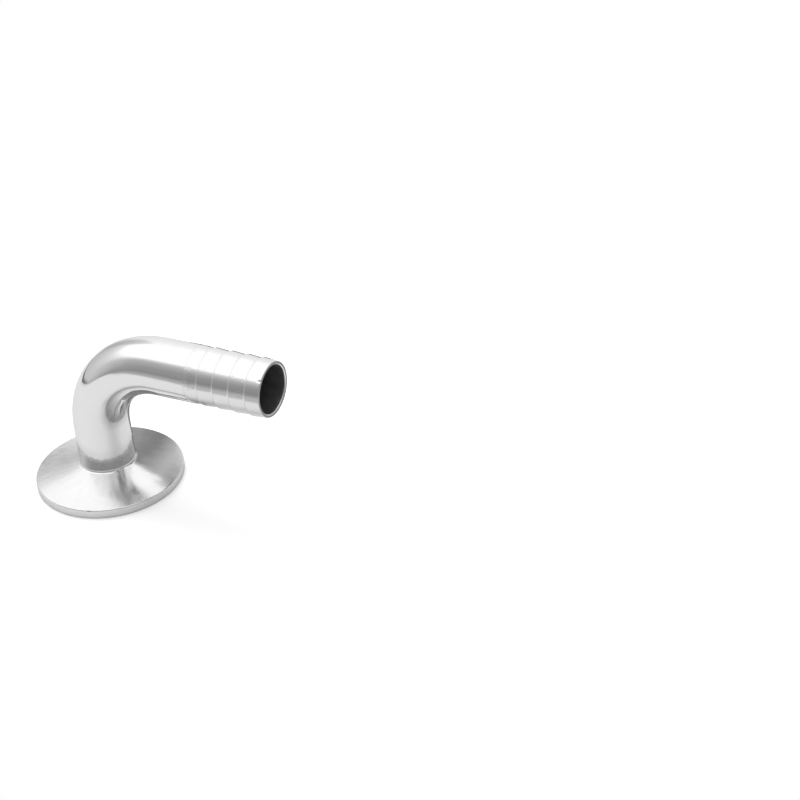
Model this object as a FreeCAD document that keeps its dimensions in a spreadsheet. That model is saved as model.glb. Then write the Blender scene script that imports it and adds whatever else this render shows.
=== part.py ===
import FreeCAD, Part
import math
import os
import Sketcher

# Hose barb elbow for hygienic tube work, all in stainless steel.
# A turned clamp ferrule, a bent tube and a turned hose barb are welded end to end,
# and the two seams are ground flush.
# Frame: the origin is the centre of the ferrule's sealing face, +Z runs up the
# ferrule's bore, and the barb points along +X. Lengths are millimetres, angles degrees.

# Driving sizes: the alias in the sheet, its value, and what it measures.
SIZES = [
    ("tube_dia", 19.05, "outside of the tube, which all three pieces share"),
    ("tube_wall", 1.5, "wall of the tube, so the bore is 16.05 across"),
    ("ferrule_height", 21.5, "sealing face to the weld at the foot of the bend"),
    ("rim_dia", 50.5, "outside of the clamp rim"),
    ("rim_edge", 3.2, "height of the rim's upright edge"),
    ("clamp_land", 4.25, "radial width of the cone that the clamp grips"),
    ("clamp_angle", 20.0, "slope of that cone"),
    ("back_angle", 14.5, "slope of the flatter cone from the land in to the neck"),
    ("neck_fillet", 1.0, "round where the back meets the neck"),
    ("rim_break", 0.35, "chamfer on the rim's two edges"),
    ("groove_inset", 3.5, "rim's outside to the middle of the gasket groove"),
    ("groove_round", 2.0, "radius of the groove's section"),
    ("groove_depth", 1.5, "depth of the groove in the sealing face"),
    ("bend_rad", 28.5, "radius of the bend at the tube's centre line"),
    ("bend_angle", 90.0, "angle of the bend"),
    ("leg_length", 13.6, "straight tube between the bend and the barb"),
    ("barb_length", 27.6, "weld to mouth of the barb piece"),
    ("shoulder_length", 1.4, "plain shoulder beside the weld"),
    ("first_crest", 4.8, "weld to the first tooth's crest"),
    ("tooth_pitch", 5.87, "crest to crest"),
    ("tooth_count", 4, "number of teeth"),
    ("crest_rise", 0.08, "crest above the outside of the tube"),
    ("tooth_depth", 0.45, "crest down to root"),
    ("mouth_break", 0.25, "chamfer on both edges of the barb's mouth"),
]

BORE_RAD = "sizes.tube_dia / 2 - sizes.tube_wall"
TUBE_RAD = "sizes.tube_dia / 2"
CREST_RAD = "sizes.tube_dia / 2 + sizes.crest_rise"
ROOT_RAD = "sizes.tube_dia / 2 + sizes.crest_rise - sizes.tooth_depth"

ORIGIN_POINT = (-1, 1)
X_AXIS = -1
START, END, CENTRE = 1, 2, 3

doc = FreeCAD.newDocument("hose_barb_elbow")


def make_sheet():
    """Puts every driving size in the spreadsheet, each cell under its alias."""
    sheet = doc.addObject("Spreadsheet::Sheet", "sizes")
    for row, (alias, value, meaning) in enumerate(SIZES, start=1):
        sheet.set(f"A{row}", alias)
        sheet.set(f"B{row}", str(value))
        sheet.set(f"C{row}", meaning)
        sheet.setAlias(f"B{row}", alias)
    doc.recompute()
    return sheet


sizes = make_sheet()
tube_rad = sizes.tube_dia / 2
bore_rad = tube_rad - sizes.tube_wall
rim_rad = sizes.rim_dia / 2
crest_rad = tube_rad + sizes.crest_rise
root_rad = crest_rad - sizes.tooth_depth


def make_body(name):
    """Starts a sub-part, whose name is also its label."""
    body = doc.addObject("PartDesign::Body", name)
    body.Label = name
    return body


def origin_feature(body, role):
    """The body's own origin plane or axis that has this role."""
    return next(f for f in body.Origin.OriginFeatures if f.Role == role)


def make_sketch(body, name, role):
    """An empty sketch on one of the body's own origin planes."""
    sketch = body.newObject("Sketcher::SketchObject", name)
    sketch.AttachmentSupport = [(origin_feature(body, role), "")]
    sketch.MapMode = "FlatFace"
    return sketch


def bind(sketch, name, constraint, formula):
    """Adds one named dimension and ties it to the sheet."""
    index = sketch.addConstraint(constraint)
    sketch.renameConstraint(index, name)
    sketch.setExpression(f"Constraints.{name}", formula)


def closed_outline(sketch, points):
    """Joins points given as (radius, height) with lines into one closed outline."""
    corners = [FreeCAD.Vector(radius, height, 0) for radius, height in points]
    count = len(corners)
    for i in range(count):
        sketch.addGeometry(Part.LineSegment(corners[i], corners[(i + 1) % count]))
    for i in range(count):
        sketch.addConstraint(Sketcher.Constraint("Coincident", i, END, (i + 1) % count, START))


def keep(sketch, kind, *lines):
    """Holds the given lines horizontal or vertical."""
    for line in lines:
        sketch.addConstraint(Sketcher.Constraint(kind, line))


def bind_radius(sketch, name, line, value, formula):
    """Ties the distance from the axis to a line's start."""
    bind(sketch, name, Sketcher.Constraint("DistanceX", *ORIGIN_POINT, line, START, value), formula)


def bind_height(sketch, name, line, value, formula):
    """Ties the height of a line's start above the sketch's X axis."""
    bind(sketch, name, Sketcher.Constraint("DistanceY", *ORIGIN_POINT, line, START, value), formula)


def bind_slope(sketch, name, line, degrees, formula):
    """Ties the slope of a line that is drawn inwards and rises towards the axis."""
    angle = math.radians(180 - degrees)
    bind(sketch, name, Sketcher.Constraint("Angle", line, angle), f"(180 - {formula}) * 1 deg")


def turn(body, kind, name, sketch):
    """Turns a sketch a full circle about the body's own Z axis, as material or as a cut."""
    feature = body.newObject(f"PartDesign::{kind}", name)
    feature.Profile = sketch
    feature.ReferenceAxis = (origin_feature(body, "Z_Axis"), [""])
    feature.Angle = 360
    doc.recompute()
    return feature


def ring_edges(shape, radius, height):
    """Names of the circular edges about Z with this radius at this height."""
    found = []
    for number, edge in enumerate(shape.Edges, start=1):
        curve = edge.Curve
        if isinstance(curve, Part.Circle):
            on_axis = math.hypot(curve.Center.x, curve.Center.y) < 1e-4
            level = abs(curve.Center.z - height) < 1e-4
            if on_axis and level and abs(curve.Radius - radius) < 1e-4:
                found.append(f"Edge{number}")
    return found


def dress(body, kind, name, base, edges, size_name, formula):
    """Rounds or chamfers edges of the base feature by a size from the sheet."""
    feature = body.newObject(f"PartDesign::{kind}", name)
    feature.Base = (base, edges)
    feature.setExpression(size_name, formula)
    doc.recompute()
    return feature


# Ferrule: one turned profile, with the gasket groove cut in the sealing face.

def make_ferrule():
    body = make_body("ferrule")
    land_rad = rim_rad - sizes.clamp_land
    land_top = sizes.rim_edge + sizes.clamp_land * math.tan(math.radians(sizes.clamp_angle))
    neck_foot = land_top + (land_rad - tube_rad) * math.tan(math.radians(sizes.back_angle))

    profile = make_sketch(body, "ferrule_profile", "XZ_Plane")
    closed_outline(profile, [
        (bore_rad, 0), (rim_rad, 0), (rim_rad, sizes.rim_edge), (land_rad, land_top),
        (tube_rad, neck_foot), (tube_rad, sizes.ferrule_height), (bore_rad, sizes.ferrule_height),
    ])
    face, edge, land, back, neck, top, bore = range(7)
    keep(profile, "Horizontal", face, top)
    keep(profile, "Vertical", edge, neck, bore)
    profile.addConstraint(Sketcher.Constraint("PointOnObject", face, START, X_AXIS))
    bind_radius(profile, "bore_radius", face, bore_rad, BORE_RAD)
    bind_radius(profile, "rim_radius", edge, rim_rad, "sizes.rim_dia / 2")
    bind_height(profile, "edge_height", land, sizes.rim_edge, "sizes.rim_edge")
    bind(profile, "land_width", Sketcher.Constraint("DistanceX", land, END, land, START, sizes.clamp_land),
         "sizes.clamp_land")
    bind_slope(profile, "land_slope", land, sizes.clamp_angle, "sizes.clamp_angle")
    bind_slope(profile, "back_slope", back, sizes.back_angle, "sizes.back_angle")
    bind_radius(profile, "neck_radius", neck, tube_rad, TUBE_RAD)
    bind_height(profile, "top_height", top, sizes.ferrule_height, "sizes.ferrule_height")
    blank = turn(body, "Revolution", "ferrule_blank", profile)

    section = make_sketch(body, "groove_section", "XZ_Plane")
    middle = rim_rad - sizes.groove_inset
    drop = sizes.groove_round - sizes.groove_depth
    section.addGeometry(Part.Circle(FreeCAD.Vector(middle, -drop, 0), FreeCAD.Vector(0, 0, 1), sizes.groove_round))
    bind(section, "round", Sketcher.Constraint("Radius", 0, sizes.groove_round), "sizes.groove_round")
    bind(section, "middle", Sketcher.Constraint("DistanceX", *ORIGIN_POINT, 0, CENTRE, middle),
         "sizes.rim_dia / 2 - sizes.groove_inset")
    bind(section, "drop", Sketcher.Constraint("DistanceY", 0, CENTRE, *ORIGIN_POINT, drop),
         "sizes.groove_round - sizes.groove_depth")
    grooved = turn(body, "Groove", "gasket_groove", section)

    foot = ring_edges(grooved.Shape, tube_rad, neck_foot)
    necked = dress(body, "Fillet", "neck_round", grooved, foot, "Radius", "sizes.neck_fillet")
    rims = ring_edges(necked.Shape, rim_rad, 0) + ring_edges(necked.Shape, rim_rad, sizes.rim_edge)
    dress(body, "Chamfer", "rim_chamfer", necked, rims, "Size", "sizes.rim_break")
    return body, blank


# Bend: the tube's ring section swept round the bend and along its straight leg.

def make_bend():
    body = make_body("bend")
    turned = math.radians(sizes.bend_angle)
    start = FreeCAD.Vector(0, 0, 0)
    middle = FreeCAD.Vector(sizes.bend_rad * (1 - math.cos(turned / 2)), sizes.bend_rad * math.sin(turned / 2), 0)
    end = FreeCAD.Vector(sizes.bend_rad * (1 - math.cos(turned)), sizes.bend_rad * math.sin(turned), 0)
    along = FreeCAD.Vector(math.sin(turned), math.cos(turned), 0)

    route = make_sketch(body, "bend_route", "XZ_Plane")
    route.addGeometry(Part.Arc(start, middle, end))
    route.addGeometry(Part.LineSegment(end, end + along * sizes.leg_length))
    arc, leg = 0, 1
    # An arc always runs anticlockwise here, so the foot of this one is its end.
    route.addConstraint(Sketcher.Constraint("Coincident", arc, END, *ORIGIN_POINT))
    route.addConstraint(Sketcher.Constraint("PointOnObject", arc, CENTRE, X_AXIS))
    route.addConstraint(Sketcher.Constraint("Tangent", arc, START, leg, START))
    bind(route, "bend_radius", Sketcher.Constraint("Radius", arc, sizes.bend_rad), "sizes.bend_rad")
    bind(route, "bend_span", Sketcher.Constraint("Angle", arc, turned), "sizes.bend_angle * 1 deg")
    bind(route, "leg_run", Sketcher.Constraint("Distance", leg, sizes.leg_length), "sizes.leg_length")

    ring = make_sketch(body, "tube_section", "XY_Plane")
    for index, (name, radius, formula) in enumerate([
        ("outside", tube_rad, TUBE_RAD), ("inside", bore_rad, BORE_RAD),
    ]):
        ring.addGeometry(Part.Circle(start, FreeCAD.Vector(0, 0, 1), radius))
        ring.addConstraint(Sketcher.Constraint("Coincident", index, CENTRE, *ORIGIN_POINT))
        bind(ring, name, Sketcher.Constraint("Radius", index, radius), formula)

    sweep = body.newObject("PartDesign::AdditivePipe", "bent_tube")
    sweep.Profile = ring
    sweep.Spine = (route, ["Edge1", "Edge2"])
    doc.recompute()
    body.Placement = FreeCAD.Placement(FreeCAD.Vector(0, 0, sizes.ferrule_height), FreeCAD.Rotation())
    body.setExpression("Placement.Base.z", "sizes.ferrule_height")
    return body, sweep


# Hose barb: a turned blank with one tooth, repeated along its axis and faced off at the mouth.

def make_hose_barb():
    body = make_body("hose_barb")
    first, pitch, length = sizes.first_crest, sizes.tooth_pitch, sizes.barb_length

    profile = make_sketch(body, "barb_profile", "XZ_Plane")
    closed_outline(profile, [
        (bore_rad, 0), (tube_rad, 0), (tube_rad, sizes.shoulder_length), (root_rad, first),
        (root_rad, length), (bore_rad, length),
    ])
    face, shoulder, taper, core, mouth, bore = range(6)
    keep(profile, "Horizontal", face, mouth)
    keep(profile, "Vertical", shoulder, core, bore)
    profile.addConstraint(Sketcher.Constraint("PointOnObject", face, START, X_AXIS))
    bind_radius(profile, "bore_radius", face, bore_rad, BORE_RAD)
    bind_radius(profile, "tube_radius", shoulder, tube_rad, TUBE_RAD)
    bind_height(profile, "shoulder_end", taper, sizes.shoulder_length, "sizes.shoulder_length")
    bind_radius(profile, "root_radius", core, root_rad, ROOT_RAD)
    bind_height(profile, "taper_end", core, first, "sizes.first_crest")
    bind_height(profile, "mouth_height", mouth, length, "sizes.barb_length")
    blank = turn(body, "Revolution", "barb_blank", profile)

    # The tooth is sharp towards the bend and falls away towards the mouth.
    # Its foot reaches half way into the wall, so that it fuses with the blank.
    section = make_sketch(body, "tooth_section", "XZ_Plane")
    foot_rad = (bore_rad + root_rad) / 2
    closed_outline(section, [
        (foot_rad, first), (crest_rad, first), (root_rad, first + pitch), (foot_rad, first + pitch),
    ])
    step, slope, back, foot = range(4)
    keep(section, "Horizontal", step, back)
    keep(section, "Vertical", foot)
    bind_radius(section, "foot_radius", step, foot_rad, f"({BORE_RAD} + {ROOT_RAD}) / 2")
    bind_height(section, "crest_height", step, first, "sizes.first_crest")
    bind_radius(section, "crest_radius", slope, crest_rad, CREST_RAD)
    bind_radius(section, "root_radius", back, root_rad, ROOT_RAD)
    bind_height(section, "tooth_end", back, first + pitch, "sizes.first_crest + sizes.tooth_pitch")
    tooth = turn(body, "Revolution", "tooth", section)

    teeth = body.newObject("PartDesign::LinearPattern", "teeth")
    teeth.Originals = [tooth]
    teeth.Direction = (origin_feature(body, "Z_Axis"), [""])
    teeth.setExpression("Length", "sizes.tooth_pitch * (sizes.tooth_count - 1)")
    teeth.setExpression("Occurrences", "sizes.tooth_count")
    body.Tip = teeth
    doc.recompute()

    # Facing cut: whatever the last tooth leaves beyond the mouth comes off.
    facing = make_sketch(body, "facing_section", "XZ_Plane")
    reach = length + pitch
    closed_outline(facing, [(0, length), (rim_rad, length), (rim_rad, reach), (0, reach)])
    low, side, high, axis = range(4)
    keep(facing, "Horizontal", low, high)
    keep(facing, "Vertical", side, axis)
    facing.addConstraint(Sketcher.Constraint("PointOnObject", low, START, -2))
    bind_height(facing, "mouth_height", low, length, "sizes.barb_length")
    bind_radius(facing, "outer_reach", side, rim_rad, "sizes.rim_dia / 2")
    bind_height(facing, "upper_reach", high, reach, "sizes.barb_length + sizes.tooth_pitch")
    faced = turn(body, "Groove", "mouth_face", facing)

    mouth_face = next(f for f in faced.Shape.Faces if abs(f.CenterOfMass.z - length) < 1e-4)
    names = []
    for number, ring in enumerate(faced.Shape.Edges, start=1):
        if any(ring.isSame(own) for own in mouth_face.Edges):
            names.append(f"Edge{number}")
    dress(body, "Chamfer", "mouth_chamfer", faced, names, "Size", "sizes.mouth_break")

    body.Placement = FreeCAD.Placement(
        FreeCAD.Vector(0, 0, 0), FreeCAD.Rotation(FreeCAD.Vector(0, 1, 0), sizes.bend_angle))
    body.setExpression("Placement.Rotation.Angle", "sizes.bend_angle * 1 deg")
    body.setExpression("Placement.Base.x", (
        "sizes.bend_rad * (1 - cos(sizes.bend_angle)) + sizes.leg_length * sin(sizes.bend_angle)"))
    body.setExpression("Placement.Base.z", (
        "sizes.ferrule_height + sizes.bend_rad * sin(sizes.bend_angle)"
        " + sizes.leg_length * cos(sizes.bend_angle)"))
    return body, blank


ferrule, ferrule_blank = make_ferrule()
bend, bent_tube = make_bend()
hose_barb, barb_blank = make_hose_barb()
doc.recompute()

failed = [o.Name for o in doc.Objects if "Invalid" in o.State or "Error" in o.State]
if failed:
    raise RuntimeError("failed objects: " + ", ".join(failed))

# Each cut has to take material away, and the pattern and the sweep have to hold theirs.
section_area = math.pi * (tube_rad ** 2 - bore_rad ** 2)
route_length = sizes.bend_rad * math.radians(sizes.bend_angle) + sizes.leg_length
expected = section_area * route_length
if abs(bent_tube.Shape.Volume - expected) > expected * 1e-4:
    raise RuntimeError("the bend's volume is not its section times its length")
if doc.gasket_groove.Shape.Volume >= ferrule_blank.Shape.Volume:
    raise RuntimeError("the gasket groove cuts nothing")
if hose_barb.Shape.Volume <= barb_blank.Shape.Volume:
    raise RuntimeError("the barb has no teeth")

os.makedirs("parts", exist_ok=True)
for body in (ferrule, bend, hose_barb):
    shape = body.Shape
    if shape.isNull() or not shape.isValid() or len(shape.Solids) != 1:
        raise RuntimeError(body.Label + " is not one valid solid")
    shape.exportStep(f"parts/{body.Label}.step")
    print(body.Label, "volume", round(shape.Volume, 1), "box", shape.BoundBox)
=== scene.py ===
import math

import bpy
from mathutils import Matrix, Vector


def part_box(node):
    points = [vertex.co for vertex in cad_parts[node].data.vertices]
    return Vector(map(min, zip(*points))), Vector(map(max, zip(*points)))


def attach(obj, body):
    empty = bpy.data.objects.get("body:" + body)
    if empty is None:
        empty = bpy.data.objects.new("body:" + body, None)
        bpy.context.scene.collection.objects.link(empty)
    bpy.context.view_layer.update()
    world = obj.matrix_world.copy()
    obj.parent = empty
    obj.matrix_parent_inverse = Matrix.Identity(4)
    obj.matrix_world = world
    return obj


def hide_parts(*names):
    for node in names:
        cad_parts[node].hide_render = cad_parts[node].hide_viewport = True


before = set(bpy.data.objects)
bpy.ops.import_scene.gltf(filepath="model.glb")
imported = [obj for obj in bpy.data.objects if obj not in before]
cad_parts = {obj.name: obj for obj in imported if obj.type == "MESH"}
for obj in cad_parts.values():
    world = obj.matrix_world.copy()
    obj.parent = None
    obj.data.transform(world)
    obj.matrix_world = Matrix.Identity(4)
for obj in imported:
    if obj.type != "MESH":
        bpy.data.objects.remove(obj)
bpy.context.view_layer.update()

# Hose barb elbow in stainless steel: a turned clamp ferrule, a polished bend and a
# turned hose barb, welded end to end. Sizes here are millimetres, in the frame's axes:
# the ferrule's sealing face lies on the floor and the barb points along +X.

MM = 0.001

# Sizes read from the frame.
rim_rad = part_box("ferrule")[1].x / MM
ferrule_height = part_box("ferrule")[1].z / MM
tube_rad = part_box("bend")[1].y / MM
bend_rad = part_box("bend")[1].z / MM - ferrule_height - tube_rad
bend_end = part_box("bend")[1].x / MM
barb_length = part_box("hose_barb")[1].x / MM - bend_end
axis_height = ferrule_height + bend_rad

# Sizes of the tube and the ferrule.
TUBE_WALL = 1.5
RIM_EDGE = 3.2
CLAMP_LAND = 4.25
CLAMP_ANGLE = 20.0
BACK_ANGLE = 14.5
NECK_FILLET = 1.0
RIM_ROUND = 0.5
LAND_ROUND = 40.0
GROOVE_INSET = 3.5
GROOVE_ROUND = 2.0
GROOVE_DEPTH = 1.5
LIP_ROUND = 0.12

# Sizes of the barb.
SHOULDER_LENGTH = 1.4
FIRST_CREST = 4.8
TOOTH_PITCH = 5.87
TOOTH_COUNT = 4
CREST_RISE = 0.08
TOOTH_DEPTH = 0.45
CREST_ROUND = 0.35
ROOT_ROUND = 0.08
MOUTH_ROUND = 0.25
BORE_ROUND = 0.5
SEAM_ROUND = 0.04
# How far from the mouth two more rings stand, which keep its nick from spreading.
MOUTH_RINGS = (1.6, 1.1)

bore_rad = tube_rad - TUBE_WALL
land_rad = rim_rad - CLAMP_LAND
land_top = RIM_EDGE + CLAMP_LAND * math.tan(math.radians(CLAMP_ANGLE))
neck_foot = land_top + (land_rad - tube_rad) * math.tan(math.radians(BACK_ANGLE))
crest_rad = tube_rad + CREST_RISE
root_rad = crest_rad - TOOTH_DEPTH

# Marks of use: where each is, how far it reaches, and how the metal is pushed in there.
RIM_NICK = ((7.45, -24.12, 3.1), 0.8, (-0.05, 0.15, -0.25))
TUBE_PIT = ((-0.7, -9.49, 23.9), 0.7, (0, 0.25, 0.05))
MOUTH_NICK = ((69.6, -6.36, 56.58), 0.55, (0, 0.2, -0.2))

# How finely the round shapes are divided: the sides of a turned piece's rings and of the bend's,
# the steps round the bend, and the degrees in a step of a profile's arc, which has at least
# ARC_LEAST steps.
RING_SIDES = 256
BEND_SIDES = 192
BEND_STEPS = 96
ARC_STEP = 10.0
ARC_LEAST = 3
# How far a holding point stands from its round. A straight run gets one when it is longer than
# LONG_RUN times that distance and the round's reach together.
HOLD = 0.12
LONG_RUN = 4
# How near two points are when they become one, and how sharp an edge still looks smooth.
MERGE = 0.002
SMOOTH_ANGLE = math.radians(32)

# How the faces that share a material are found: how near they are to a surface, and how much
# of a face's normal points along the piece's axis on a side, a slope, a round and an end.
NEAR = 0.05
ON_SIDE = 0.1
ON_SLOPE = 0.5
ON_ROUND = 0.9
ON_END = 0.95


# Modelling helpers.

def arc_points(centre, radius, start, end):
    """Points of an arc in a profile, from one angle to another in degrees."""
    count = max(ARC_LEAST, math.ceil(abs(end - start) / ARC_STEP))
    angles = [math.radians(start + (end - start) * i / count) for i in range(count + 1)]
    return [(centre[0] + radius * math.cos(a), centre[1] + radius * math.sin(a)) for a in angles]


def rounded_profile(corners):
    """Rounds the corners of a closed profile, given as (radius, height, round).

    Beside each round a long straight run gets a holding point, so that it stays flat
    when it is shaded smooth.
    """
    profile = []
    for i, (radius, height, corner_round) in enumerate(corners):
        corner = Vector((radius, height))
        if corner_round == 0:
            profile.append(tuple(corner))
            continue
        before = Vector(corners[i - 1][:2]) - corner
        after = Vector(corners[(i + 1) % len(corners)][:2]) - corner
        half = before.angle(after) / 2
        reach = corner_round / math.tan(half)
        inwards = (before.normalized() + after.normalized()).normalized()
        middle = corner + inwards * corner_round / math.sin(half)
        first = corner + before.normalized() * reach
        last = corner + after.normalized() * reach
        start = math.degrees(math.atan2(*(first - middle).yx))
        turn = math.degrees(math.atan2(*(last - middle).yx)) - start
        turn = (turn + 180) % 360 - 180
        if before.length > LONG_RUN * (reach + HOLD):
            profile.append(tuple(first + before.normalized() * HOLD))
        profile += arc_points(middle, corner_round, start, start + turn)
        if after.length > LONG_RUN * (reach + HOLD):
            profile.append(tuple(last + after.normalized() * HOLD))
    return profile


def start_ring(name, radius, height, sides):
    """A ring of edges about the Z axis, open for editing, with all of it selected."""
    bpy.ops.object.select_all(action="DESELECT")
    bpy.ops.mesh.primitive_circle_add(vertices=sides, radius=radius * MM, location=(0, 0, height * MM))
    piece = bpy.context.object
    piece.name = piece.data.name = name
    bpy.ops.object.mode_set(mode="EDIT")
    bpy.ops.mesh.select_all(action="SELECT")
    return piece


def turned(name, profile):
    """Turns a closed (radius, height) profile about the Z axis, ring by ring."""
    radius, height = profile[0]
    piece = start_ring(name, radius, height, RING_SIDES)
    for next_radius, next_height in profile[1:] + profile[:1]:
        rise = (0, 0, (next_height - height) * MM)
        growth = next_radius / radius
        bpy.ops.mesh.extrude_region_move(TRANSFORM_OT_translate={"value": rise})
        bpy.ops.transform.resize(value=(growth, growth, 1), center_override=(0, 0, next_height * MM))
        radius, height = next_radius, next_height
    return piece


def finish_mesh(piece):
    """Closes seams, points the faces outwards, and puts the piece's place in its mesh.

    Rounds are shaded smooth and edges stay sharp.
    """
    bpy.ops.mesh.select_all(action="SELECT")
    bpy.ops.mesh.remove_doubles(threshold=MERGE * MM)
    bpy.ops.mesh.normals_make_consistent(inside=False)
    bpy.ops.object.mode_set(mode="OBJECT")
    bpy.ops.object.transform_apply(location=True, rotation=True, scale=True)
    bpy.ops.object.shade_smooth_by_angle(angle=SMOOTH_ANGLE)
    return piece


def push_spot(piece, place, reach, push):
    """Pushes the point of a piece that is nearest to a place; the push fades out over the reach."""
    nearest = min(piece.data.vertices, key=lambda vertex: (vertex.co / MM - Vector(place)).length).index
    bpy.ops.object.mode_set(mode="EDIT")
    bpy.ops.mesh.select_mode(type="VERT")
    bpy.ops.mesh.select_all(action="DESELECT")
    bpy.ops.object.mode_set(mode="OBJECT")
    piece.data.vertices[nearest].select = True
    bpy.ops.object.mode_set(mode="EDIT")
    bpy.ops.transform.translate(value=Vector(push) * MM, use_proportional_edit=True,
                                proportional_edit_falloff="SMOOTH", proportional_size=reach * MM)
    bpy.ops.object.mode_set(mode="OBJECT")


def stands_for(piece, node):
    """Puts a finished piece on the fitting in place of its CAD node."""
    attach(piece, "root")
    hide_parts(node)


def paint(piece, materials, choose):
    """Gives a piece its materials, and each face the one that choose(centre, normal) returns."""
    for material in materials:
        piece.data.materials.append(material)
    for face in piece.data.polygons:
        face.material_index = materials.index(choose(face.center / MM, face.normal))


# Material helpers.

def linear(hex_code):
    """Linear colour of an sRGB hex value such as #C8C8C6."""
    parts = [int(hex_code[i:i + 2], 16) / 255 for i in (1, 3, 5)]
    return [c / 12.92 if c <= 0.04045 else ((c + 0.055) / 1.055) ** 2.4 for c in parts] + [1.0]


def add_node(tree, kind, inputs=None, stops=(), **settings):
    """Adds a node, sets its properties, and fills its inputs with values or other nodes' outputs.

    A colour ramp's stops are (place, brightness) pairs; it starts with two, so the rest are added.
    """
    node = tree.nodes.new("ShaderNode" + kind)
    for _ in stops[2:]:
        node.color_ramp.elements.new(0.5)
    for i, (place, level) in enumerate(stops):
        node.color_ramp.elements[i].position = place
        node.color_ramp.elements[i].color = (level, level, level, 1)
    for name, value in settings.items():
        setattr(node, name, value)
    for name, value in (inputs or {}).items():
        if isinstance(value, bpy.types.NodeSocket):
            tree.links.new(value, node.inputs[name])
        else:
            node.inputs[name].default_value = value
    return node


def every(size):
    """The scale of a pattern that repeats about once in so many millimetres."""
    return 1 / (size * MM)


def new_material(name):
    """An empty material with its shader and output."""
    material = bpy.data.materials.new(name)
    material.use_nodes = True
    tree = material.node_tree
    return material, tree, tree.nodes["Principled BSDF"]


# Materials.

STEEL_EDGE_TINT = "#F2F2F4"

# How far up from its foot the neck has hand strokes, and how far out on its fillet its finish goes.
STROKE_HEIGHT = 7
NECK_SPREAD = 0.8
# How far to each side of a crest the barb is rubbed.
CREST_WEAR = 0.5


def metal_base(name, colour):
    """Bare stainless steel, whose mirror dims a little where it is seen edge on."""
    material, tree, shader = new_material(name)
    shader.inputs["Base Color"].default_value = linear(colour)
    shader.inputs["Metallic"].default_value = 1.0
    shader.inputs["Specular Tint"].default_value = linear(STEEL_EDGE_TINT)
    return material, tree, shader


def polished_tube(name, foot=None):
    """304 stainless tube, bent and then buffed to a mirror.

    To the eye: a bright, neutral mirror. The bent tube's skin is a little uneven, so
    the edges of reflections waver, its draw lines streak them lengthwise, and fingers
    and cloth leave a faint haze in patches. Just above foot the buff can't reach, and
    hand strokes along the tube stay as streaks.
    """
    material, tree, shader = metal_base(name, "#E8E8E8")
    place = add_node(tree, "TexCoord").outputs["Object"]
    swell = add_node(tree, "TexNoise", {"Vector": place, "Scale": every(12), "Detail": 1.0})
    peel = add_node(tree, "TexNoise", {"Vector": place, "Scale": every(1.6), "Detail": 2.0})
    haze = add_node(tree, "TexNoise", {"Vector": place, "Scale": every(6), "Detail": 3.0})
    rough = add_node(tree, "MapRange", {"Value": haze.outputs["Fac"], "From Min": 0.35, "From Max": 0.7,
                                        "To Min": 0.03, "To Max": 0.11})
    # The draw lines follow the tube: out and side are a point's place in the tube's section, on
    # the straight parts too, and onward lets the lines change slowly along it.
    arc_centre = (bend_rad * MM, 0, ferrule_height * MM)
    from_arc = add_node(tree, "VectorMath", {0: place, 1: arc_centre}, operation="SUBTRACT")
    before_leg = add_node(tree, "VectorMath", {0: from_arc.outputs["Vector"], 1: (0, 1, 1)},
                          operation="MINIMUM")
    on_bend = add_node(tree, "VectorMath", {0: before_leg.outputs["Vector"], 1: (-1, -1, 0)},
                       operation="MAXIMUM")
    spoke = add_node(tree, "VectorMath", {0: on_bend.outputs["Vector"], 1: (1, 0, 1)},
                     operation="MULTIPLY")
    out = add_node(tree, "VectorMath", {0: spoke.outputs["Vector"]}, operation="LENGTH").outputs["Value"]
    side = add_node(tree, "SeparateXYZ", {"Vector": place}).outputs["Y"]
    onward = add_node(tree, "VectorMath", {0: place, 1: (0.04, 0, 0.04)},
                      operation="DOT_PRODUCT").outputs["Value"]
    section = add_node(tree, "CombineXYZ", {"X": out, "Y": side, "Z": onward}).outputs["Vector"]
    drawn = add_node(tree, "TexNoise", {"Vector": section, "Scale": every(3.4), "Detail": 1.0})
    fine = add_node(tree, "Bump", {"Height": peel.outputs["Fac"], "Distance": 0.0015 * MM})
    lined = add_node(tree, "Bump", {"Height": drawn.outputs["Fac"], "Distance": 0.14 * MM,
                                    "Normal": fine.outputs["Normal"]})
    waver = add_node(tree, "Bump", {"Height": swell.outputs["Fac"], "Distance": 0.18 * MM,
                                    "Normal": lined.outputs["Normal"]})
    normal = waver.outputs["Normal"]
    if foot is not None:
        height = add_node(tree, "SeparateXYZ", {"Vector": place}).outputs["Z"]
        reach = add_node(tree, "MapRange", {"Value": height, "From Min": foot * MM,
                                            "From Max": (foot + STROKE_HEIGHT) * MM,
                                            "To Min": 1.0, "To Max": 0.0}).outputs["Result"]
        drawn_out = add_node(tree, "Mapping", {"Vector": place, "Scale": (1, 1, 0.12)}).outputs["Vector"]
        strokes = add_node(tree, "TexNoise", {"Vector": drawn_out, "Scale": every(0.9), "Detail": 3.0})
        streaks = add_node(tree, "Math", {0: strokes.outputs["Fac"], 1: reach}, operation="MULTIPLY")
        streaked = add_node(tree, "Bump", {"Height": streaks.outputs["Value"], "Distance": 0.14 * MM,
                                           "Normal": normal})
        normal = streaked.outputs["Normal"]
    tree.links.new(rough.outputs["Result"], shader.inputs["Roughness"])
    tree.links.new(normal, shader.inputs["Normal"])
    return material


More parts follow.
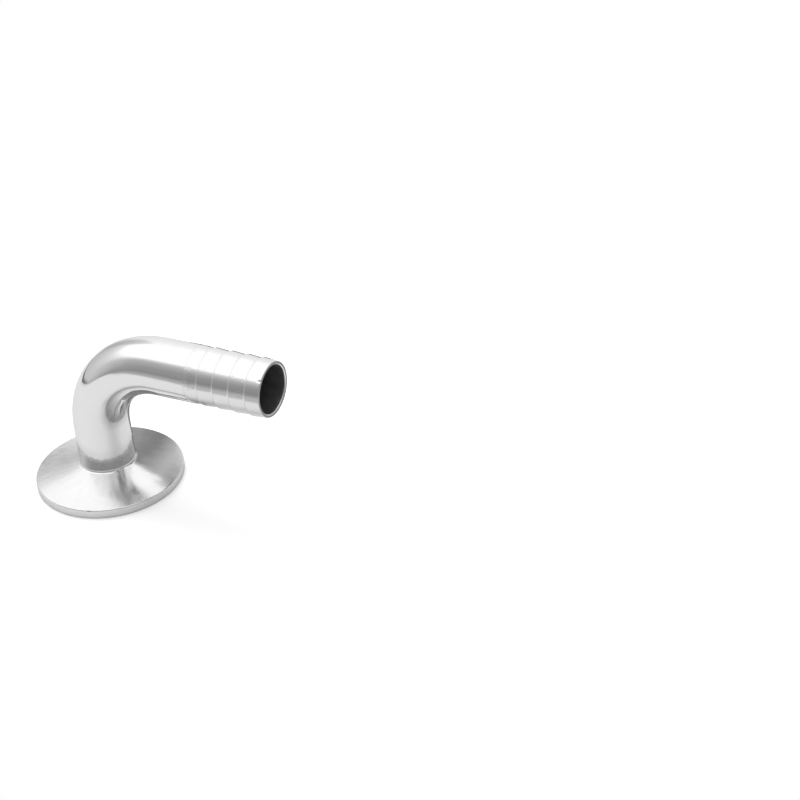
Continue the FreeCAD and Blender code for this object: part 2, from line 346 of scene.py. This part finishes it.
def turned_face():
    """304 stainless faced on a lathe and lightly polished.

    To the eye: bright, with wedges of light that run out from the neck. The tool's
    rings smear reflections outwards, and its chatter breaks them into fine rays. The
    land near the rim, where the clamp's jaws rub, is duller.
    """
    material, tree, shader = metal_base("turned_304_face", "#E8E8E8")
    shader.inputs["Anisotropic"].default_value = 0.8
    shader.inputs["Anisotropic Rotation"].default_value = 0.25
    tangent = add_node(tree, "Tangent", direction_type="RADIAL", axis="Z")
    place = add_node(tree, "TexCoord").outputs["Object"]
    flat = add_node(tree, "VectorMath", {0: place, 1: (1, 1, 0)}, operation="MULTIPLY").outputs["Vector"]
    spoke = add_node(tree, "VectorMath", {0: flat}, operation="NORMALIZE").outputs["Vector"]
    distance = add_node(tree, "VectorMath", {0: flat}, operation="LENGTH").outputs["Value"]
    rings = add_node(tree, "TexNoise", {"W": distance, "Scale": every(0.3), "Detail": 3.0},
                     noise_dimensions="1D")
    # Rays about 2.5 mm apart where the face is 20 mm from the axis, which fade and start again.
    along = add_node(tree, "CombineXYZ", {"Z": distance}).outputs["Vector"]
    drawn_out = add_node(tree, "VectorMath", {0: along, 1: (0, 0, 30)},
                         operation="MULTIPLY").outputs["Vector"]
    ray_place = add_node(tree, "VectorMath", {0: spoke, 1: drawn_out}, operation="ADD").outputs["Vector"]
    rays = add_node(tree, "TexNoise", {"Vector": ray_place, "Scale": 8.0, "Detail": 3.0}).outputs["Fac"]
    # The change to the duller land takes 3 mm about its inner edge.
    rubbed = add_node(tree, "MapRange", {"Value": distance, "From Min": (land_rad - 2) * MM,
                                         "From Max": (land_rad + 1) * MM, "To Min": 0.15, "To Max": 0.21})
    dull = add_node(tree, "MapRange", {"Value": rays, "From Min": 0.35, "From Max": 0.65, "To Min": 0.0,
                                       "To Max": 0.09})
    rough = add_node(tree, "Math", {0: rubbed.outputs["Result"], 1: dull.outputs["Result"]}, operation="ADD")
    shade = add_node(tree, "ValToRGB", {"Fac": rays}, stops=[(0.35, 0.77), (0.62, 0.81)]).outputs["Color"]
    ringed = add_node(tree, "Bump", {"Height": rings.outputs["Fac"], "Distance": 0.003 * MM})
    rayed = add_node(tree, "Bump", {"Height": rays, "Distance": 0.025 * MM,
                                    "Normal": ringed.outputs["Normal"]})
    tree.links.new(shade, shader.inputs["Base Color"])
    tree.links.new(rough.outputs["Value"], shader.inputs["Roughness"])
    tree.links.new(tangent.outputs["Tangent"], shader.inputs["Tangent"])
    tree.links.new(rayed.outputs["Normal"], shader.inputs["Normal"])
    return material


def turned_rim():
    """The rim's side as the lathe left it: a fine satin, a little duller than the face."""
    material, tree, shader = metal_base("turned_304_rim", "#F8F8F8")
    shader.inputs["Roughness"].default_value = 0.34
    shader.inputs["Anisotropic"].default_value = 0.4
    shader.inputs["Anisotropic Rotation"].default_value = 0.25
    tangent = add_node(tree, "Tangent", direction_type="RADIAL", axis="Z")
    place = add_node(tree, "TexCoord").outputs["Object"]
    parts = add_node(tree, "SeparateXYZ", {"Vector": place})
    marks = add_node(tree, "TexNoise", {"W": parts.outputs["Z"], "Scale": every(0.3), "Detail": 3.0},
                     noise_dimensions="1D")
    scuff = add_node(tree, "TexNoise", {"Vector": place, "Scale": every(1.5), "Detail": 4.0})
    lines = add_node(tree, "Bump", {"Height": marks.outputs["Fac"], "Distance": 0.006 * MM})
    scuffed = add_node(tree, "Bump", {"Height": scuff.outputs["Fac"], "Distance": 0.02 * MM,
                                      "Normal": lines.outputs["Normal"]})
    tree.links.new(tangent.outputs["Tangent"], shader.inputs["Tangent"])
    tree.links.new(scuffed.outputs["Normal"], shader.inputs["Normal"])
    return material


def turned_barb():
    """The barb, turned from tube in one pass after the bend was buffed.

    To the eye: bright, with fine rings about its axis. Next to the weld the steel is
    dressed by hand, so reflections break up there, and hoses have left small nicks.
    """
    material, tree, shader = metal_base("turned_304_barb", "#E8E8E8")
    shader.inputs["Anisotropic"].default_value = 0.3
    shader.inputs["Anisotropic Rotation"].default_value = 0.25
    tangent = add_node(tree, "Tangent", direction_type="RADIAL", axis="X")
    place = add_node(tree, "TexCoord").outputs["Object"]
    parts = add_node(tree, "SeparateXYZ", {"Vector": place})
    along = parts.outputs["X"]
    dressed = add_node(tree, "MapRange", {"Value": along, "From Min": bend_end * MM,
                                          "From Max": (bend_end + FIRST_CREST) * MM,
                                          "To Min": 1.0, "To Max": 0.0})
    marks = add_node(tree, "TexNoise", {"W": along, "Scale": every(0.35), "Detail": 3.0},
                     noise_dimensions="1D")
    dents = add_node(tree, "TexVoronoi", {"Vector": place, "Scale": every(2.6)})
    nick = add_node(tree, "MapRange", {"Value": dents.outputs["Distance"], "From Min": 0.04,
                                       "From Max": 0.14})
    # Crests are rubbed the most, and the dressed strip about a third as much.
    from_first = add_node(tree, "Math", {0: along, 1: (bend_end + FIRST_CREST) * MM}, operation="SUBTRACT")
    from_crest = add_node(tree, "Math", {0: from_first.outputs["Value"], 1: TOOTH_PITCH / 2 * MM},
                          operation="PINGPONG")
    on_crest = add_node(tree, "MapRange", {"Value": from_crest.outputs["Value"], "From Max": CREST_WEAR * MM,
                                           "To Min": 1.0, "To Max": 0.0})
    part_worn = add_node(tree, "Math", {0: dressed.outputs["Result"], 1: 0.3}, operation="MULTIPLY")
    worn = add_node(tree, "Math", {0: part_worn.outputs["Value"], 1: on_crest.outputs["Result"]},
                    operation="MAXIMUM")
    rough = add_node(tree, "MapRange", {"Value": worn.outputs["Value"], "To Min": 0.08, "To Max": 0.42})
    burrs = add_node(tree, "TexNoise", {"Vector": place, "Scale": every(0.9), "Detail": 3.0})
    burred = add_node(tree, "Math", {0: burrs.outputs["Fac"], 1: on_crest.outputs["Result"]},
                      operation="MULTIPLY")
    patchy = add_node(tree, "TexNoise", {"Vector": place, "Scale": every(1.1), "Detail": 3.0})
    uneven = add_node(tree, "Math", {0: patchy.outputs["Fac"], 1: dressed.outputs["Result"]},
                      operation="MULTIPLY")
    lines = add_node(tree, "Bump", {"Height": marks.outputs["Fac"], "Distance": 0.003 * MM})
    nicked = add_node(tree, "Bump", {"Height": nick.outputs["Result"], "Distance": 0.04 * MM,
                                     "Normal": lines.outputs["Normal"]})
    edged = add_node(tree, "Bump", {"Height": burred.outputs["Value"], "Distance": 0.12 * MM,
                                    "Normal": nicked.outputs["Normal"]})
    uneven_skin = add_node(tree, "Bump", {"Height": uneven.outputs["Value"], "Distance": 0.12 * MM,
                                          "Normal": edged.outputs["Normal"]})
    tree.links.new(tangent.outputs["Tangent"], shader.inputs["Tangent"])
    tree.links.new(rough.outputs["Result"], shader.inputs["Roughness"])
    tree.links.new(uneven_skin.outputs["Normal"], shader.inputs["Normal"])
    return material


def faced_end():
    """The barb's end, faced square with a coarse tool: a dull grey ring."""
    material, tree, shader = metal_base("faced_304_end", "#8C8C8C")
    shader.inputs["Roughness"].default_value = 0.38
    place = add_node(tree, "TexCoord").outputs["Object"]
    scratch = add_node(tree, "TexNoise", {"Vector": place, "Scale": every(0.6), "Detail": 4.0})
    skin = add_node(tree, "Bump", {"Height": scratch.outputs["Fac"], "Distance": 0.03 * MM})
    tree.links.new(skin.outputs["Normal"], shader.inputs["Normal"])
    return material


def tube_bore():
    """The inside of the drawn tube, left as the mill made it: duller and greyer than the outside."""
    material, tree, shader = metal_base("drawn_304_bore", "#C2C2C2")
    place = add_node(tree, "TexCoord").outputs["Object"]
    grain = add_node(tree, "TexNoise", {"Vector": place, "Scale": every(1.2), "Detail": 4.0})
    rough = add_node(tree, "MapRange", {"Value": grain.outputs["Fac"], "From Min": 0.3, "From Max": 0.7,
                                        "To Min": 0.32, "To Max": 0.42})
    skin = add_node(tree, "Bump", {"Height": grain.outputs["Fac"], "Distance": 0.03 * MM})
    tree.links.new(rough.outputs["Result"], shader.inputs["Roughness"])
    tree.links.new(skin.outputs["Normal"], shader.inputs["Normal"])
    return material


polished = polished_tube("buffed_304_tube")
neck_metal = polished_tube("buffed_304_neck", neck_foot)
face_metal = turned_face()
rim_metal = turned_rim()
barb_metal = turned_barb()
end_metal = faced_end()
bore_metal = tube_bore()


# Ferrule: one turned profile, with the gasket groove in the sealing face.

def make_ferrule():
    groove_mid = rim_rad - GROOVE_INSET
    sink = GROOVE_ROUND - GROOVE_DEPTH
    lip = math.degrees(math.asin(sink / GROOVE_ROUND))
    groove = arc_points((groove_mid, -sink), GROOVE_ROUND, 180 - lip, lip)
    corners = [(bore_rad, 0, LIP_ROUND)]
    for i, (radius, height) in enumerate(groove):
        corners.append((radius, height, LIP_ROUND if i in (0, len(groove) - 1) else 0))
    corners += [
        (rim_rad, 0, RIM_ROUND), (rim_rad, RIM_EDGE, RIM_ROUND), (land_rad, land_top, LAND_ROUND),
        (tube_rad, neck_foot, NECK_FILLET), (tube_rad, ferrule_height, 0), (bore_rad, ferrule_height, 0),
    ]
    piece = finish_mesh(turned("clamp_ferrule", rounded_profile(corners)))
    push_spot(piece, *RIM_NICK)

    def choose(centre, normal):
        radius = math.hypot(centre.x, centre.y)
        if radius < bore_rad + NEAR and abs(normal.z) < ON_SLOPE:
            return bore_metal
        if radius < tube_rad + NECK_SPREAD and centre.z > neck_foot - NECK_FILLET:
            return neck_metal
        if radius > rim_rad - NEAR and abs(normal.z) < ON_SIDE:
            return rim_metal
        if radius > rim_rad - RIM_ROUND and abs(normal.z) < ON_ROUND:
            return polished
        return face_metal

    paint(piece, [neck_metal, face_metal, rim_metal, bore_metal, polished], choose)
    stands_for(piece, "ferrule")


# Bend: a ring spun round the bend, drawn out along the leg, and given its wall.

def make_bend():
    piece = start_ring("polished_bend", tube_rad, ferrule_height, BEND_SIDES)
    bpy.ops.mesh.spin(steps=BEND_STEPS, angle=math.radians(-90),
                      center=(bend_rad * MM, 0, ferrule_height * MM), axis=(0, 1, 0))
    bpy.ops.mesh.extrude_region_move(TRANSFORM_OT_translate={"value": ((bend_end - bend_rad) * MM, 0, 0)})
    finish_mesh(piece)
    wall = piece.modifiers.new("wall", "SOLIDIFY")
    wall.thickness = TUBE_WALL * MM
    wall.offset = -1
    bpy.ops.object.modifier_apply(modifier=wall.name)
    bpy.ops.object.shade_smooth_by_angle(angle=SMOOTH_ANGLE)
    push_spot(piece, *TUBE_PIT)
    arc_centre = Vector((bend_rad, 0, ferrule_height))

    def choose(centre, normal):
        if centre.x < bend_rad:
            spoke = Vector((centre.x, 0, centre.z)) - arc_centre
            from_axis = (centre - arc_centre - spoke.normalized() * bend_rad).length
        else:
            from_axis = math.hypot(centre.y, centre.z - axis_height)
        return bore_metal if from_axis < tube_rad - TUBE_WALL / 2 else polished

    paint(piece, [polished, bore_metal], choose)
    stands_for(piece, "bend")


# Hose barb: four teeth, sharp towards the bend and falling away towards the mouth.

def make_barb():
    corners = [(bore_rad, 0, 0), (tube_rad, 0, SEAM_ROUND), (tube_rad, SHOULDER_LENGTH, SEAM_ROUND)]
    for tooth in range(TOOTH_COUNT):
        crest = FIRST_CREST + tooth * TOOTH_PITCH
        corners += [(root_rad, crest, ROOT_ROUND), (crest_rad, crest, CREST_ROUND)]
    mouth_rad = crest_rad - TOOTH_DEPTH * (barb_length - crest) / TOOTH_PITCH
    for ring in MOUTH_RINGS:
        corners.append((mouth_rad + TOOTH_DEPTH * ring / TOOTH_PITCH, barb_length - ring, 0))
    corners += [(mouth_rad, barb_length, MOUTH_ROUND), (bore_rad, barb_length, BORE_ROUND)]
    piece = turned("hose_barb_end", rounded_profile(corners))
    bpy.ops.mesh.select_all(action="SELECT")
    bpy.ops.transform.rotate(value=math.radians(-90), orient_axis="Y", center_override=(0, 0, 0))
    bpy.ops.transform.translate(value=(bend_end * MM, 0, axis_height * MM))
    finish_mesh(piece)
    push_spot(piece, *MOUTH_NICK)

    def choose(centre, normal):
        from_axis = math.hypot(centre.y, centre.z - axis_height)
        if from_axis < bore_rad + NEAR and abs(normal.x) < ON_SLOPE:
            return bore_metal
        return end_metal if normal.x > ON_END else barb_metal

    paint(piece, [barb_metal, bore_metal, end_metal], choose)
    stands_for(piece, "hose_barb")


# Studio: a white table, a bright ceiling, and a grey wall band at the horizon.

# The table's left edge and its front edge: how far each is from the ferrule, the azimuth that
# it is square to, how wide its painted shade is in the metal, and by how much it darkens there.
LEFT_EDGE = (235, 180, 60, 0.2)
FRONT_EDGE = (115, -61, 30, 0.4)
# How far the painted shadow beside the ferrule reaches in the metal, and how dark it starts.
PAINTED_FOOT_SHADOW = (10, 0.28)
# How far the table reaches on its other two sides.
TABLE_REACH = 1400
# The table's paint, and how much light of its own it gives to the camera and to the metal.
TABLE_PAINT = "#E4E4E4"
CAMERA_LIFT = 0.36
METAL_LIFT = 0.05
# How bright the ceiling is.
CEILING = 1.25

# Brightness of the wall band at each azimuth, in degrees from +X towards +Y.
WALL = [(-180, 0.66), (-165, 0.66), (-150, 0.5), (-140, 0.36), (-125, 0.31), (-95, 0.29), (-50, 0.34),
        (-10, 0.3), (60, 0.42), (95, 0.75), (108, 0.92), (118, 1.02), (133, 0.97), (139, 0.62), (144, 0.52),
        (153, 0.62), (180, 0.66)]
# How bright the strip between the table's edge and the wall is, at each azimuth.
SKIRT = [(-180, 0.1), (-170, 0.16), (-162, 0.35), (-150, 0.5), (-120, 0.55), (60, 0.6), (100, 0.95),
         (140, 1.05), (150, 0.6), (160, 0.2), (180, 0.1)]
# The elevation of the strip's top.
SKIRT_TOP = -8
# Over how many degrees, up and down, the strip's top fades at each azimuth.
SKIRT_FADE = [(-180, 1), (-155, 1), (-130, 7), (-50, 7), (0, 1), (180, 1)]
# Fades and elevations go into their colour ramps as shares of these.
FADE_MOST = 10
EDGE_MOST = 90
# Elevation of the ceiling's edge at each azimuth; it is highest behind the camera.
EDGE = [(-180, 28), (-162, 30), (-150, 37), (-135, 45), (-115, 49), (-85, 60), (-50, 70), (-15, 62),
        (25, 52), (95, 50), (118, 38), (140, 44), (150, 40), (159, 32), (180, 28)]
# How much of the ceiling's brightness shows, by the angle above its edge.
RISE = [(-45, 0.0), (-28, 0.06), (-17, 0.18), (-7, 0.4), (-2, 0.66), (2, 1.0)]


def round_stops(levels, scale=1.0):
    """Stops along a full turn, from levels given by azimuth in degrees and as shares of the scale."""
    return [((azimuth + 180) / 360, level / scale) for azimuth, level in levels]


def make_surroundings():
    """The world: wall band, strip and ceiling for the metal, and plain white for the camera."""
    world = bpy.data.worlds.new("studio")
    world.use_nodes = True
    bpy.context.scene.world = world
    tree = world.node_tree
    sky = tree.nodes["Background"]
    way = add_node(tree, "TexCoord").outputs["Generated"]
    parts = add_node(tree, "SeparateXYZ", {"Vector": way})
    turn = add_node(tree, "Math", {0: parts.outputs["Y"], 1: parts.outputs["X"]}, operation="ARCTAN2")
    about = add_node(tree, "MapRange", {"Value": turn.outputs["Value"], "From Min": -math.pi,
                                        "From Max": math.pi}).outputs["Result"]
    wall = add_node(tree, "ValToRGB", {"Fac": about}, stops=round_stops(WALL)).outputs["Color"]
    skirt = add_node(tree, "ValToRGB", {"Fac": about}, stops=round_stops(SKIRT)).outputs["Color"]
    edge = add_node(tree, "ValToRGB", {"Fac": about}, stops=round_stops(EDGE, EDGE_MOST)).outputs["Color"]
    up = add_node(tree, "Math", {0: parts.outputs["Z"]}, operation="ARCSINE").outputs["Value"]
    fade = add_node(tree, "ValToRGB", {"Fac": about}, stops=round_stops(SKIRT_FADE, FADE_MOST))
    # The fade goes as far up from the strip's top as it goes down.
    reach = add_node(tree, "Math", {0: fade.outputs["Color"], 1: 2 * math.radians(FADE_MOST)},
                     operation="MULTIPLY")
    under = add_node(tree, "Math", {0: math.radians(SKIRT_TOP), 1: up}, operation="SUBTRACT")
    share = add_node(tree, "Math", {0: under.outputs["Value"], 1: reach.outputs["Value"]}, operation="DIVIDE")
    below = add_node(tree, "Math", {0: share.outputs["Value"], 1: 0.5}, operation="ADD", use_clamp=True)
    band = add_node(tree, "Mix", {"Factor": below.outputs["Value"], 6: wall, 7: skirt}, data_type="RGBA")
    above = add_node(tree, "Math", {0: edge, 1: -math.radians(EDGE_MOST), 2: up}, operation="MULTIPLY_ADD")
    level = add_node(tree, "MapRange", {"Value": above.outputs["Value"], "From Min": math.radians(-90),
                                        "From Max": math.radians(90)}).outputs["Result"]
    rise_stops = [((angle + 90) / 180, share_shown) for angle, share_shown in RISE]
    rise = add_node(tree, "ValToRGB", {"Fac": level}, stops=rise_stops).outputs["Color"]
    light = add_node(tree, "Mix", {"Factor": rise, 6: band.outputs[2], 7: (CEILING, CEILING, CEILING, 1)},
                     data_type="RGBA")
    seen = add_node(tree, "LightPath").outputs["Is Camera Ray"]
    shown = add_node(tree, "Mix", {"Factor": seen, 6: light.outputs[2], 7: (1, 1, 1, 1)}, data_type="RGBA")
    tree.links.new(shown.outputs[2], sky.inputs["Color"])


def table_corner():
    """Where the table's left edge and its front edge meet."""
    left, left_way = LEFT_EDGE[:2]
    front, front_way = FRONT_EDGE[:2]
    a = math.radians(left_way)
    b = math.radians(front_way)
    across = math.sin(b - a)
    corner_x = (left * math.sin(b) - front * math.sin(a)) / across
    corner_y = (front * math.cos(a) - left * math.cos(b)) / across
    return corner_x, corner_y


def make_table():
    """The table, cut off along its two edges.

    Its matt white paint is lifted to white for the camera, and a little for the metal, and
    keeps its shadows. For the metal its paint also has painted shade towards its edges and a
    painted shadow beside the ferrule.
    """
    bpy.ops.object.select_all(action="DESELECT")
    bpy.ops.mesh.primitive_plane_add(size=2 * TABLE_REACH * MM)
    table = bpy.context.object
    table.name = "table"
    near_x, near_y = table_corner()
    slope = -1 / math.tan(math.radians(FRONT_EDGE[1]))
    for vertex in table.data.vertices:
        if vertex.co.x < 0:
            vertex.co.x = near_x * MM
        if vertex.co.y < 0:
            vertex.co.y = near_y * MM + (vertex.co.x - near_x * MM) * slope
    material, tree, shader = new_material("matt_white_paint")
    shader.inputs["Roughness"].default_value = 0.9
    shader.inputs["Specular IOR Level"].default_value = 0.1
    place = add_node(tree, "TexCoord").outputs["Object"]
    ray = add_node(tree, "LightPath").outputs
    # In the metal the table's paint darkens towards its edges: painted shade, for glossy rays only.
    bright = 1.0
    for distance, way, width, drop in (LEFT_EDGE, FRONT_EDGE):
        square = (math.cos(math.radians(way)), math.sin(math.radians(way)), 0)
        out = add_node(tree, "VectorMath", {0: place, 1: square}, operation="DOT_PRODUCT").outputs["Value"]
        near = add_node(tree, "MapRange", {"Value": out, "From Min": (distance - width) * MM,
                                           "From Max": distance * MM, "To Min": 0.0, "To Max": -drop})
        bright = add_node(tree, "Math", {0: near.outputs["Result"], 1: ray["Is Glossy Ray"], 2: bright},
                          operation="MULTIPLY_ADD").outputs["Value"]
    # The table's paint is darkened beside the ferrule for glossy rays only: a painted shadow.
    reach, drop = PAINTED_FOOT_SHADOW
    from_axis = add_node(tree, "VectorMath", {0: place}, operation="LENGTH").outputs["Value"]
    foot = add_node(tree, "MapRange", {"Value": from_axis, "From Min": rim_rad * MM,
                                       "From Max": (rim_rad + reach) * MM, "To Min": -drop, "To Max": 0.0})
    bright = add_node(tree, "Math", {0: foot.outputs["Result"], 1: ray["Is Glossy Ray"], 2: bright},
                      operation="MULTIPLY_ADD").outputs["Value"]
    paint_colour = add_node(tree, "Mix", {"Factor": bright, 6: (0, 0, 0, 1), 7: linear(TABLE_PAINT)},
                            data_type="RGBA")
    tree.links.new(paint_colour.outputs[2], shader.inputs["Base Color"])
    seen = add_node(tree, "Math", {0: ray["Is Glossy Ray"], 1: METAL_LIFT}, operation="MULTIPLY")
    lift = add_node(tree, "Math", {0: ray["Is Camera Ray"], 1: CAMERA_LIFT, 2: seen.outputs["Value"]},
                    operation="MULTIPLY_ADD")
    faded = add_node(tree, "Math", {0: lift.outputs["Value"], 1: bright}, operation="MULTIPLY")
    glow = add_node(tree, "Emission", {"Strength": faded.outputs["Value"]})
    both = add_node(tree, "AddShader", {0: shader.outputs["BSDF"], 1: glow.outputs["Emission"]})
    tree.links.new(both.outputs["Shader"], tree.nodes["Material Output"].inputs["Surface"])
    table.data.materials.append(material)


# The lamp: where it hangs, how wide it is, and its power in watts.
LAMP_PLACE = (-200, 150, 600)
LAMP_WIDTH = 300
LAMP_POWER = 1.2


def make_light():
    """A soft lamp above and behind, which only the table shows, as a faint shadow."""
    data = bpy.data.lights.new("soft_lamp", "AREA")
    data.shape = "DISK"
    data.size = LAMP_WIDTH * MM
    data.energy = LAMP_POWER
    lamp = bpy.data.objects.new("soft_lamp", data)
    bpy.context.scene.collection.objects.link(lamp)
    lamp.location = Vector(LAMP_PLACE) * MM
    lamp.rotation_euler = (-lamp.location).to_track_quat("-Z", "Y").to_euler()
    lamp.visible_glossy = False


# Two grey cards stand behind the fitting, square to Y and CARD_BACK from its axis. Each has its
# ends along X, its heights, and its brightness at places along X. The flange shows the low
# one and the barb's top edge the high one.
CARD_BACK = 30
FLANGE_CARD = ((-22, 34), (0, 40), [(-22, 0.38), (-6, 0.36), (-1, 0.26), (4, 0.27), (8, 0.42), (11, 0.53),
                                    (15, 0.62), (18, 0.5), (21, 0.42)])
# The flange's card has its low right corner lifted, so that the leg doesn't show it.
CARD_CORNER = ((34, CARD_BACK, 0), 1, (0, 0, 32))
BARB_CARD = ((22, 54), (30, 53), [(22, 0.3), (30, 0.06), (54, 0.06)])


def make_card(name, ends, heights, shades):
    """A grey card behind the fitting, as a photographer sets one, which only the metal sees."""
    bpy.ops.object.select_all(action="DESELECT")
    bpy.ops.mesh.primitive_grid_add(x_subdivisions=2, y_subdivisions=1, size=1)
    card = bpy.context.object
    card.name = name
    bpy.ops.object.mode_set(mode="EDIT")
    bpy.ops.mesh.select_all(action="SELECT")
    size = ((ends[1] - ends[0]) * MM, (heights[1] - heights[0]) * MM, 1)
    bpy.ops.transform.resize(value=size, center_override=(0, 0, 0))
    bpy.ops.transform.rotate(value=math.radians(90), orient_axis="X", center_override=(0, 0, 0))
    bpy.ops.transform.translate(value=(sum(ends) / 2 * MM, CARD_BACK * MM, sum(heights) / 2 * MM))
    bpy.ops.object.mode_set(mode="OBJECT")
    material, tree, shader = new_material(name)
    parts = add_node(tree, "SeparateXYZ", {"Vector": add_node(tree, "TexCoord").outputs["Object"]})
    across = add_node(tree, "MapRange", {"Value": parts.outputs["X"], "From Min": ends[0] * MM,
                                         "From Max": ends[1] * MM})
    stops = [((x - ends[0]) / (ends[1] - ends[0]), level) for x, level in shades]
    shade = add_node(tree, "ValToRGB", {"Fac": across.outputs["Result"]}, stops=stops)
    glow = add_node(tree, "Emission", {"Color": shade.outputs["Color"]})
    tree.links.new(glow.outputs["Emission"], tree.nodes["Material Output"].inputs["Surface"])
    card.data.materials.append(material)
    card.visible_camera = False
    card.visible_diffuse = False
    card.visible_shadow = False
    return card


# Camera: where the photograph was taken from, how it was turned, in degrees, and its lens.
CAMERA_PLACE = (360.988, -450.162, 384.874)
CAMERA_TURN = (57.2445, 4.0652, 26.0544)
CAMERA_LENS = 90.0
CAMERA_SENSOR = 36.0


def make_camera():
    data = bpy.data.cameras.new("camera")
    data.lens = CAMERA_LENS
    data.sensor_width = CAMERA_SENSOR
    camera = bpy.data.objects.new("camera", data)
    bpy.context.scene.collection.objects.link(camera)
    camera.location = Vector(CAMERA_PLACE) * MM
    camera.rotation_euler = [math.radians(a) for a in CAMERA_TURN]
    bpy.context.scene.camera = camera


make_camera()
make_ferrule()
make_bend()
make_barb()
make_surroundings()
make_table()
make_light()
push_spot(make_card("flange_card", *FLANGE_CARD), *CARD_CORNER)
make_card("barb_card", *BARB_CARD)

bpy.context.scene.view_settings.view_transform = "Standard"
